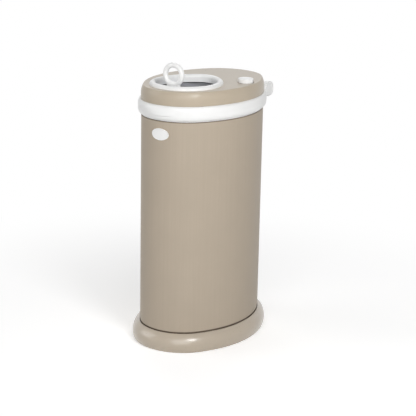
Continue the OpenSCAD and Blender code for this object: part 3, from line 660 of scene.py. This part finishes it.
class BIN_OT_lid_band(BuildPiece, bpy.types.Operator):
    """White band of the lid with its finger lip, its floor plate and the two hinge arms"""
    bl_idname = "nappy_bin.lid_band"
    bl_label = "Lid Band"

    def build(self, s):
        foot, head, wall = 0.8 * MM, 1.6 * MM, 2.5 * MM
        centre = circle_through((foot, LID_Z), (head, BAND_TOP), s.band_r)
        inner_r = s.band_r - wall
        in_low = math.degrees(math.asin((LID_Z - centre.y) / inner_r))
        in_high = math.degrees(math.asin((BAND_TOP - wall - centre.y) / inner_r))
        # the band's face: nearly upright, with tight turns at its edges
        bulge, half_h = centre.x + s.band_r - (foot + head) / 2, (BAND_TOP - LID_Z) / 2
        last, steps, flatness, tightness = 86, 56, 3.5, 0.75
        outer = []
        for i in range(steps + 1):
            t = math.sin(math.radians(last * (2 * i / steps - 1)))
            outer.append((foot + (head - foot) * (t + 1) / 2 + bulge * (1 - abs(t) ** flatness) ** tightness,
                          LID_Z + half_h * (t + 1)))
        inner = -20 * MM
        profile = [(foot - 0.5 * MM, LID_Z)] + outer + [
            (head - 0.6 * MM, BAND_TOP), (inner, BAND_TOP), (inner, BAND_TOP - wall)]
        profile += arc(centre.x, centre.y, inner_r, in_high, in_low, 10)
        band = swept("lid_band", profile, oval(24, 112))
        self.raise_lip(band, s, centre)
        finish_piece(shade(band), "lid", "white_plastic", "lid_frame")
        self.floor(inner, wall)
        self.arms()

    def raise_lip(self, band, s, centre):
        """Draws the band's face out into a crescent at the front, undercut at its lower edge."""
        top, edge, start = centre.y + 9 * MM, centre.y - 5.6 * MM, centre.y - 3 * MM
        curl, undercut, skin, narrowing = 2.2 * MM, 1.1 * MM, 1.7 * MM, 1.3
        for v in band.data.vertices:
            x, y = v.co.x, v.co.y - SHIFT_Y
            out = Vector((x, y + END_C))
            d = out.length - END_R
            if y > -END_C or abs(x) >= s.lip_half or d < centre.x + s.band_r - skin:
                continue
            aside = (x / s.lip_half) ** 2
            rise = smooth((v.co.z - edge - curl * aside) / undercut)
            fall = smooth((top - v.co.z) / (top - start))
            push = s.lip_reach * (1 - aside) ** narrowing * rise * fall
            out.normalize()
            v.co.x += out.x * push
            v.co.y += out.y * push

    def floor(self, inner, wall):
        """Floor plate under the cap with the nappy's hole, and the skirt that carries the soft seal."""
        low_face = BAND_TOP - wall + 0.05 * MM
        points = [p + Vector((0, SHIFT_Y, 0)) for p in oval(20, 32).ring(inner - 0.4 * MM, low_face)]
        plate = slab("lid_floor", points, Vector((0, 0, wall - 0.1 * MM)))
        low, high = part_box("mouth_chute")
        hole = (high.x - low.x) / 2 - 1.7 * MM
        tool = turned("tool", [(0, LID_Z), (hole, LID_Z), (hole, LID_TOP), (0, LID_TOP)],
                      (0, (low.y + high.y) / 2, 0), steps=96)
        cut(plate, tool)
        rounded(plate, 0.3 * MM, 2)
        finish_piece(shade(plate), "lid", "white_plastic", "lid_frame")
        front, back, foot = -10.5 * MM, -12.5 * MM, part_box("lid_seal")[0].z + 1 * MM
        top = BAND_TOP - wall - 0.02 * MM
        skirt = swept("lid_skirt", [(front, foot), (front, top), (back, top), (back, foot)], oval(20, 32))
        finish_piece(shade(rounded(skirt, 0.3 * MM, 2)), "lid", "white_plastic", "lid_frame")

    def arms(self):
        """Two arms from the band to the hinge pin, each a round boss with a tapered root."""
        low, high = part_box("hinge_caps")
        cap, gap, thick, bore_r, reach = 2 * MM, 0.02 * MM, 7.96 * MM, 6.02 * MM, 0.2
        radius, out = (high.z - low.z) / 2, high.x - cap - gap
        # the root ends inside the band's wall, whose outline curves away across the arm
        face = END_R + 2.2 * MM
        root_y = END_C + math.sqrt(face ** 2 - (out - thick) ** 2) - 1.5 * MM
        tip_y = END_C + math.sqrt(face ** 2 - out ** 2) - 2.5 * MM
        corner = min(root_y, tip_y)
        rim = arc(PIN_Y, PIN_Z, radius, -108, 108, 40)
        rim += [(corner, BAND_TOP - 1.4 * MM), (corner, LID_Z + 5.2 * MM)]
        for side, name in ((1, "hinge_arm_right"), (-1, "hinge_arm_left")):
            x = side * out - (thick if side > 0 else 0)
            points = [Vector((x, y + SHIFT_Y, z)) for y, z in rim]
            arm = slab(name, points, Vector((thick, 0, 0)))
            # the bore's tool starts inside the arm and leaves it on the outer side
            bore = turned("tool", [(0, -reach), (bore_r, -reach), (bore_r, reach), (0, reach)],
                          (side * (out - thick / 2 + reach), PIN_Y + SHIFT_Y, PIN_Z), 'X')
            cut(arm, bore)
            rounded(arm, 0.8 * MM, 3, 50)
            finish_piece(shade(arm), "lid", "white_plastic", "lid_frame")


class BIN_OT_lid_cap(BuildPiece, bpy.types.Operator):
    """Lid cap: leaning wall, flat top, the opening and the button's hole"""
    bl_idname = "nappy_bin.lid_cap"
    bl_label = "Lid Cap"

    def build(self, s):
        side, wall, inner = 0.8 * MM, 2.5 * MM, -20 * MM
        # a wide arc leans the wall in towards a tight edge round the flat top
        drop, edge = 14 * MM, s.cap_edge
        c = (side - s.cap_wall_r, LID_TOP - drop)
        lean = math.degrees(math.asin((drop - edge) / (s.cap_wall_r - edge)))
        edge_d = c[0] + (s.cap_wall_r - edge) * math.cos(math.radians(lean))
        inside = math.degrees(math.asin((drop - wall) / (s.cap_wall_r - wall)))
        profile = [(inner, LID_TOP - wall)] + arc(*c, s.cap_wall_r - wall, inside, 0, 10)
        profile += [(side - wall, BAND_TOP), (side - 0.4 * MM, BAND_TOP), (side, BAND_TOP + 0.4 * MM)]
        profile += arc(*c, s.cap_wall_r, 0, lean, 18)[:-1] + arc(edge_d, LID_TOP - edge, edge, lean, 90, 8)
        profile.append((inner, LID_TOP))
        cap = swept("lid_cap_moulding", profile, oval(28, 44), closed=False, fill=(LID_TOP, LID_TOP - wall))
        ring = [p + Vector((0, SHIFT_Y, 0)) for p in egg(s).ring(-3 * MM, LID_TOP - 2 * wall)]
        cut(cap, slab("tool", ring, Vector((0, 0, 4 * wall))))
        low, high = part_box("lock_button")
        hole = s.button_r + 1 * MM
        cut(cap, turned("tool", [(0, BAND_TOP), (hole, BAND_TOP), (hole, LID_TOP + wall), (0, LID_TOP + wall)],
                        ((low.x + high.x) / 2, (low.y + high.y) / 2, 0)))
        finish_piece(shade(cap), "lid", "lid_plastic", "lid_cap")


class BIN_OT_bezel(BuildPiece, bpy.types.Operator):
    """White egg-shaped ring round the opening"""
    bl_idname = "nappy_bin.bezel"
    bl_label = "Opening Ring"

    def build(self, s):
        low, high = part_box("opening_bezel")
        width, rim = 11 * MM, 3.3 * MM
        crest = width / 2 + 0.5 * MM
        inner_r = width - crest
        skirt_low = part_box("door_plate")[1].z + 0.5 * MM
        profile = [(0, LID_TOP)] + arc(-crest, high.z - crest, crest, 0, 90, 14)
        profile += arc(-crest, high.z - inner_r, inner_r, 90, 180, 12)[1:]
        wall, under = 2 * MM, LID_TOP - 0.02 * MM
        profile += [(-width, skirt_low + 0.4 * MM), (-width + 0.4 * MM, skirt_low), (-width + wall, skirt_low),
                    (-width + wall, under), (-rim - wall, under), (-rim - wall, low.z), (-rim, low.z), (-rim, LID_TOP)]
        bezel = swept("opening_ring", profile, egg(s, 24, 26, 72))
        finish_piece(shade(bezel), "lid", "white_plastic", "opening_bezel")


class BIN_OT_door(BuildPiece, bpy.types.Operator):
    """Polished door plate with softened edges"""
    bl_idname = "nappy_bin.door"
    bl_label = "Sliding Door"

    def build(self, s):
        door = copy_of("door_plate", "polished_door", 0.3 * MM)
        finish_piece(door, "door", "polished_steel", "door_plate")


class BIN_OT_ring_handle(BuildPiece, bpy.types.Operator):
    """Upright ring with a neck and a spread foot, blended into one moulding"""
    bl_idname = "nappy_bin.ring_handle"
    bl_label = "Ring Handle"

    def build(self, s):
        low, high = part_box("ring_handle")
        half, bar = 4.35 * MM, 8.5 * MM
        y, centre_z = (low.y + high.y) / 2, high.z - s.ring_r
        soft, inner = 3.9 * MM, s.ring_r - bar
        section = []
        for quarter, (r, t) in enumerate(((s.ring_r - soft, half - soft), (inner + soft, half - soft),
                                          (inner + soft, soft - half), (s.ring_r - soft, soft - half))):
            section += arc(r, t, soft, 90 * quarter, 90 * quarter + 90, 8)
        ring = turned("ring_pull", section, (0, y, centre_z), 'Y', 72)
        neck_top = centre_z - inner + 0.5 * MM
        neck_half, neck_low, inset = 12.6 * MM, low.z + 1.5 * MM, 0.8 * MM
        corners = ((-neck_half, neck_low), (neck_half, neck_low), (neck_half, neck_top), (-neck_half, neck_top))
        neck = slab("neck", [Vector((x, y - half + inset, z)) for x, z in corners],
                    Vector((0, 2 * (half - inset), 0)), 2.2 * MM)
        foot_r = 6 * MM
        foot_ring = [Vector((px, y + py, low.z)) for side, first in ((1, -90), (-1, 90))
                     for px, py in arc(side * foot_r, 0, foot_r, first, first + 180, 14)]
        foot = slab("foot", foot_ring, Vector((0, 0, 2.6 * MM)))
        cut(ring, neck, 'UNION')
        cut(ring, foot, 'UNION')
        use(ring, 'REMESH', mode='VOXEL', voxel_size=0.42 * MM, adaptivity=0.0)
        use(ring, 'SMOOTH', factor=0.5, iterations=9)
        # a block takes off what the remesh leaves below the foot
        reach = 20 * MM
        corners = ((-reach, -reach), (reach, -reach), (reach, reach), (-reach, reach))
        block = slab("tool", [Vector((dx, y + dy, low.z - 2 * MM)) for dx, dy in corners],
                     Vector((0, 0, 2.05 * MM)))
        cut(ring, block)
        finish_piece(shade(ring, 50, False), "door", "white_plastic", "ring_handle")


class BIN_OT_lock_button(BuildPiece, bpy.types.Operator):
    """Dished round button of the child lock, with its stem"""
    bl_idname = "nappy_bin.lock_button"
    bl_label = "Lock Button"

    def build(self, s):
        low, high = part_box("lock_button")
        top, r, soft = high.z, s.button_r, 1.3 * MM
        bolt_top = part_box("lock_bolt")[0].z + 2 * MM
        dish = r - 2.6 * MM
        stem, hub, wall, under, skirt = 3.48 * MM, 4.5 * MM, 2 * MM, top - 3 * MM, LID_TOP - 0.4 * MM
        profile = [(0, low.z), (3 * MM, low.z), (stem, low.z + 0.5 * MM), (stem, bolt_top), (hub, bolt_top),
                   (hub, under), (r - wall, under), (r - wall, skirt), (r - 0.3 * MM, skirt), (r, LID_TOP)]
        profile += arc(r - soft, top - soft, soft, 0, 90, 8)
        # the shallow dish that the finger presses
        for i in range(13):
            reach = dish * (1 - i / 12)
            profile.append((reach, top - 1.1 * MM * (1 - (reach / dish) ** 2) ** 1.2))
        button = turned("lock_knob", profile, ((low.x + high.x) / 2, (low.y + high.y) / 2, 0))
        finish_piece(shade(button), "lock", "white_plastic", "lock_button")


class BIN_OT_small_parts(BuildPiece, bpy.types.Operator):
    """Finishes of the small parts whose CAD shape stays"""
    bl_idname = "nappy_bin.small_parts"
    bl_label = "Small Parts"

    def build(self, s):
        for row in frame["record"]["subparts"]:
            materials = NODES[row["node"]].data.materials
            materials.clear()
            materials.append(finish(row["material_slot"]))


class BIN_OT_stage(BuildPiece, bpy.types.Operator):
    """Pale studio floor, soft lamps, plain world and the camera"""
    bl_idname = "nappy_bin.stage"
    bl_label = "Studio"

    def build(self, s):
        self.floor()
        self.world()
        middle = Vector((0, 0, 0.25))
        # name, size, power, azimuth, elevation, distance
        for name, size, power, azimuth, elevation, reach in (
                ("key_lamp", 0.42, 9.0, 57, 30, 1.5), ("front_lamp", 3.5, 92, 30, 22, 5),
                ("fill_lamp", 3.0, 57, -60, 22, 5), ("back_lamp", 3.5, 60, 215, 42, 5)):
            place = self.towards(azimuth, elevation) * reach + middle
            bpy.ops.object.light_add(type='AREA', location=place)
            lamp = bpy.context.object
            lamp.name = name
            lamp.data.size, lamp.data.energy = size, power
            lamp.rotation_euler = (-self.towards(azimuth, elevation)).to_track_quat('-Z', 'Y').to_euler()
        self.camera()

    @staticmethod
    def towards(azimuth, elevation):
        """Direction in which a camera or lamp stands; azimuth 0 is in front, 90 on the right."""
        a, e = math.radians(azimuth), math.radians(elevation)
        return Vector((math.sin(a) * math.cos(e), -math.cos(a) * math.cos(e), math.sin(e)))

    @staticmethod
    def seen(tree):
        """1 on rays that show a surface, directly or mirrored; 0 on rays that carry its light."""
        path = tree.nodes.new('ShaderNodeLightPath')
        socket = path.outputs["Is Camera Ray"]
        for other in ("Is Glossy Ray", "Is Transmission Ray"):
            either = tree.nodes.new('ShaderNodeMath')
            either.operation = 'MAXIMUM'
            tree.links.new(socket, either.inputs[0])
            tree.links.new(path.outputs[other], either.inputs[1])
            socket = either.outputs[0]
        return socket

    def floor(self):
        """White to the eye with the bin's shadow on it; plain pale paper for the light it throws back."""
        bpy.ops.object.select_all(action='DESELECT')
        bpy.ops.mesh.primitive_plane_add(size=24, location=(0, 0, 0))
        floor = bpy.context.object
        floor.name = "studio_floor"
        f = Finish("studio_floor")
        c = bpy.context.scene.nappy_bin_colours.floor
        mottle = f.noise(0.4, 2)
        f.set(Base_Color=f.blend(mottle, tint(c, 0.94), tint(c, 0.97)), Roughness=0.9, Specular_IOR_Level=0.1)
        tree = f.tree
        paper = tree.nodes.new('ShaderNodeBsdfDiffuse')
        paper.inputs["Color"].default_value = c
        near, distant = tree.nodes.new('ShaderNodeEmission'), tree.nodes.new('ShaderNodeEmission')
        # the shadow falls on lit paper near the bin; further out the paper is plain white
        shadow_end, white_start, near_glow = 0.15, 0.8, 0.38
        near.inputs["Strength"].default_value, distant.inputs["Strength"].default_value = near_glow, 1.0
        lit = tree.nodes.new('ShaderNodeAddShader')
        look, both = tree.nodes.new('ShaderNodeMixShader'), tree.nodes.new('ShaderNodeMixShader')
        across, back = f.axis('X'), f.axis('Y')
        far = ((across * across + back * back) ** 0.5).step(shadow_end, white_start)
        for source, target in ((paper.outputs[0], lit.inputs[0]), (near.outputs[0], lit.inputs[1]),
                               (far.socket, look.inputs[0]), (lit.outputs[0], look.inputs[1]),
                               (distant.outputs[0], look.inputs[2]), (self.seen(tree), both.inputs[0]),
                               (f.shader.outputs[0], both.inputs[1]), (look.outputs[0], both.inputs[2]),
                               (both.outputs[0], tree.nodes["Material Output"].inputs["Surface"])):
            tree.links.new(source, target)
        floor.data.materials.append(f.material)

    def world(self):
        world = bpy.context.scene.world or bpy.data.worlds.new("studio")
        bpy.context.scene.world = world
        world.use_nodes = True
        tree = world.node_tree
        back = tree.nodes["Background"]
        back.inputs["Color"].default_value = (1, 1, 1, 1)
        power = tree.nodes.new('ShaderNodeMapRange')
        ambient, white = 0.12, 1.0
        power.inputs["To Min"].default_value, power.inputs["To Max"].default_value = ambient, white
        tree.links.new(self.seen(tree), power.inputs["Value"])
        tree.links.new(power.outputs["Result"], back.inputs["Strength"])

    def camera(self):
        """Stands where the photograph was taken, with its slight roll."""
        azimuth, elevation, roll, distance = 32.66, 15.448, math.radians(1.023), 2.38125
        target = Vector((0, SHIFT_Y, 0.240))
        back = self.towards(azimuth, elevation)
        right = Vector((0, 0, 1)).cross(back).normalized()
        up = back.cross(right)
        side = right * math.cos(roll) + up * math.sin(roll)
        head = up * math.cos(roll) - right * math.sin(roll)
        bpy.ops.object.camera_add()
        camera = bpy.context.object
        camera.name = "camera"
        turn = Matrix((side, head, back)).transposed().to_4x4()
        camera.matrix_world = Matrix.Translation(target + back * distance) @ turn
        camera.data.lens, camera.data.sensor_width = 116.66, 36
        camera.data.shift_x, camera.data.shift_y = 0.01537, -0.02252
        bpy.context.scene.camera = camera
        bpy.context.scene.view_settings.view_transform = 'Standard'


class BIN_PT_panel(bpy.types.Panel):
    """Sizes, colours and the steps that build the bin"""
    bl_label = "Nappy Bin"
    bl_idname = "BIN_PT_panel"
    bl_space_type = 'VIEW_3D'
    bl_region_type = 'UI'
    bl_category = "Nappy Bin"

    def draw(self, context):
        for group in (context.scene.nappy_bin_sizes, context.scene.nappy_bin_colours):
            for key in group.__annotations__:
                self.layout.prop(group, key)
        for step in STEPS:
            self.layout.operator(step.bl_idname)


STEPS = (BIN_OT_body, BIN_OT_base, BIN_OT_plaque, BIN_OT_mouth, BIN_OT_hinge, BIN_OT_lid_band, BIN_OT_lid_cap,
         BIN_OT_bezel, BIN_OT_door, BIN_OT_ring_handle, BIN_OT_lock_button, BIN_OT_small_parts, BIN_OT_stage)
CLASSES = (NappyBinSizes, NappyBinColours) + STEPS + (BIN_PT_panel,)


def register():
    for cls in CLASSES:
        bpy.utils.register_class(cls)
    bpy.types.Scene.nappy_bin_sizes = PointerProperty(type=NappyBinSizes)
    bpy.types.Scene.nappy_bin_colours = PointerProperty(type=NappyBinColours)


def unregister():
    del bpy.types.Scene.nappy_bin_sizes
    del bpy.types.Scene.nappy_bin_colours
    for cls in reversed(CLASSES):
        bpy.utils.unregister_class(cls)


def main():
    register()
    bpy.ops.nappy_bin.body()
    bpy.ops.nappy_bin.base()
    bpy.ops.nappy_bin.plaque()
    bpy.ops.nappy_bin.mouth()
    bpy.ops.nappy_bin.hinge()
    bpy.ops.nappy_bin.lid_band()
    bpy.ops.nappy_bin.lid_cap()
    bpy.ops.nappy_bin.bezel()
    bpy.ops.nappy_bin.door()
    bpy.ops.nappy_bin.ring_handle()
    bpy.ops.nappy_bin.lock_button()
    bpy.ops.nappy_bin.small_parts()
    bpy.ops.nappy_bin.stage()


if __name__ == "__main__":
    main()
